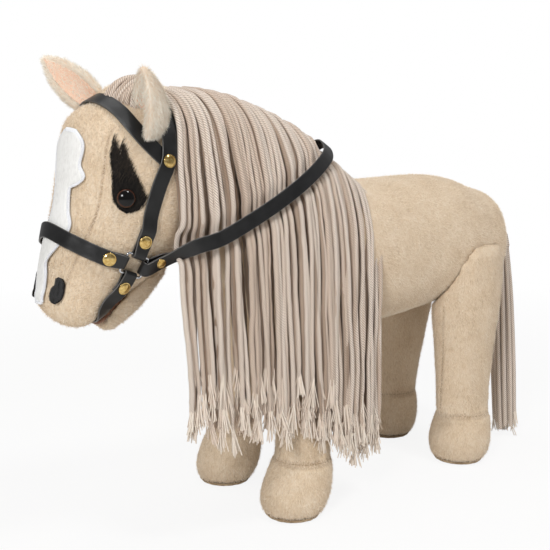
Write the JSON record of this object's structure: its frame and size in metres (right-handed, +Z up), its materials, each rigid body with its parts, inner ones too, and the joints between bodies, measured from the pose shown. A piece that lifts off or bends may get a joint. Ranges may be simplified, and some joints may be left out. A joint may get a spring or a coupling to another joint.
{
  "type": "plush horse",
  "caption": "Standing cream plush horse with a yarn mane and tail, safety eyes and a riveted strap bridle with a long rein.",
  "frame": {"origin": "on the floor under the middle of the standing horse's overall box", "axes": "+X from the muzzle towards the tail, +Y to the horse's right side, +Z up"},
  "size_m": [0.4998, 0.1564, 0.3593],
  "materials": {
    "plush_pile": "short cream pile",
    "sole_cloth": "flat felted cloth",
    "ear_cloth": "peach short-pile lining",
    "mouth_cloth": "brown cloth",
    "white_pile": "white pile with a stitched edge",
    "black_embroidery": "black thread",
    "eye_gloss": "polished dome",
    "washer_plastic": "moulded",
    "strap_leather": "smooth black, fine edge line",
    "rivet_brass": "polished cap",
    "ring_steel": "plated wire",
    "cotton_yarn": "twisted greige cords"
  },
  "bodies": {
    "horse": {"torso": "plush_pile", "neck": "plush_pile", "head": "plush_pile", "lower_jaw": "plush_pile", "leg_front_left": "plush_pile", "leg_front_right": "plush_pile", "leg_hind_left": "plush_pile", "leg_hind_right": "plush_pile", "hoof_front_left": "plush_pile", "hoof_front_right": "plush_pile", "hoof_hind_left": "plush_pile", "hoof_hind_right": "plush_pile", "sole_front_left": "sole_cloth", "sole_front_right": "sole_cloth", "sole_hind_left": "sole_cloth", "sole_hind_right": "sole_cloth", "mouth_lining": "mouth_cloth", "blaze": "white_pile", "eye_patch_left": "black_embroidery", "eye_patch_right": "black_embroidery", "nostril_left": "black_embroidery", "nostril_right": "black_embroidery", "eye_left": "eye_gloss", "eye_right": "eye_gloss", "eye_washer_left": "washer_plastic", "eye_washer_right": "washer_plastic", "headstall": "strap_leather", "noseband": "strap_leather", "chin_strap": "strap_leather", "browband": "strap_leather", "rivet_cheek_left": "rivet_brass", "rivet_cheek_right": "rivet_brass", "rivet_nose_left": "rivet_brass", "rivet_nose_right": "rivet_brass", "rivet_chin_left": "rivet_brass", "rivet_chin_right": "rivet_brass", "rivet_brow_left": "rivet_brass", "rivet_brow_right": "rivet_brass", "ring_left": "ring_steel", "ring_right": "ring_steel", "mane_lock_1": "cotton_yarn", "mane_lock_2": "cotton_yarn", "mane_lock_3": "cotton_yarn", "mane_lock_4": "cotton_yarn", "mane_lock_5": "cotton_yarn"},
    "ear_left": {"ear_left": "plush_pile", "ear_lining_left": "ear_cloth"},
    "ear_right": {"ear_right": "plush_pile", "ear_lining_right": "ear_cloth"},
    "mane_ends": {"mane_end_1": "cotton_yarn", "mane_end_2": "cotton_yarn", "mane_end_3": "cotton_yarn", "mane_end_4": "cotton_yarn", "mane_end_5": "cotton_yarn"},
    "rein": {"rein": "strap_leather", "rivet_rein_left": "rivet_brass", "rivet_rein_right": "rivet_brass"},
    "tail_root": {"tail_root": "cotton_yarn"},
    "tail": {"tail_hair": "cotton_yarn"}
  },
  "joints": [
    {"name": "ear_left_fold", "type": "hinge", "parent": "horse", "child": "ear_left", "pos_m": [-0.17391, -0.03708, 0.30998], "axis": [-0.0987, -0.9875, -0.1225], "range_deg": [-12, 12], "stiffness_Nm_per_rad": 0.05},
    {"name": "ear_right_fold", "type": "hinge", "parent": "horse", "child": "ear_right", "pos_m": [-0.18874, 0.02411, 0.32674], "axis": [0.5483, -0.3756, 0.7472], "range_deg": [-12, 12], "stiffness_Nm_per_rad": 0.05},
    {"name": "mane_swing", "type": "hinge", "parent": "horse", "child": "mane_ends", "pos_m": [0.0458, -0.0625, 0.196], "axis": [-1, 0, 0], "range_deg": [0, 20]},
    {"name": "rein_lift", "type": "hinge", "parent": "horse", "child": "rein", "pos_m": [-0.18494, -0.0383, 0.21071], "axis": [0, -1, 0], "range_deg": [0, 12]},
    {"name": "tail_lift", "type": "hinge", "parent": "horse", "child": "tail_root", "pos_m": [0.2378, -0.0165, 0.201], "axis": [0, -1, 0], "range_deg": [0, 50]},
    {"name": "tail_swing", "type": "hinge", "parent": "tail_root", "child": "tail", "pos_m": [0.2378, -0.0165, 0.201], "axis": [1, 0, 0], "range_deg": [-20, 20]}
  ]
}
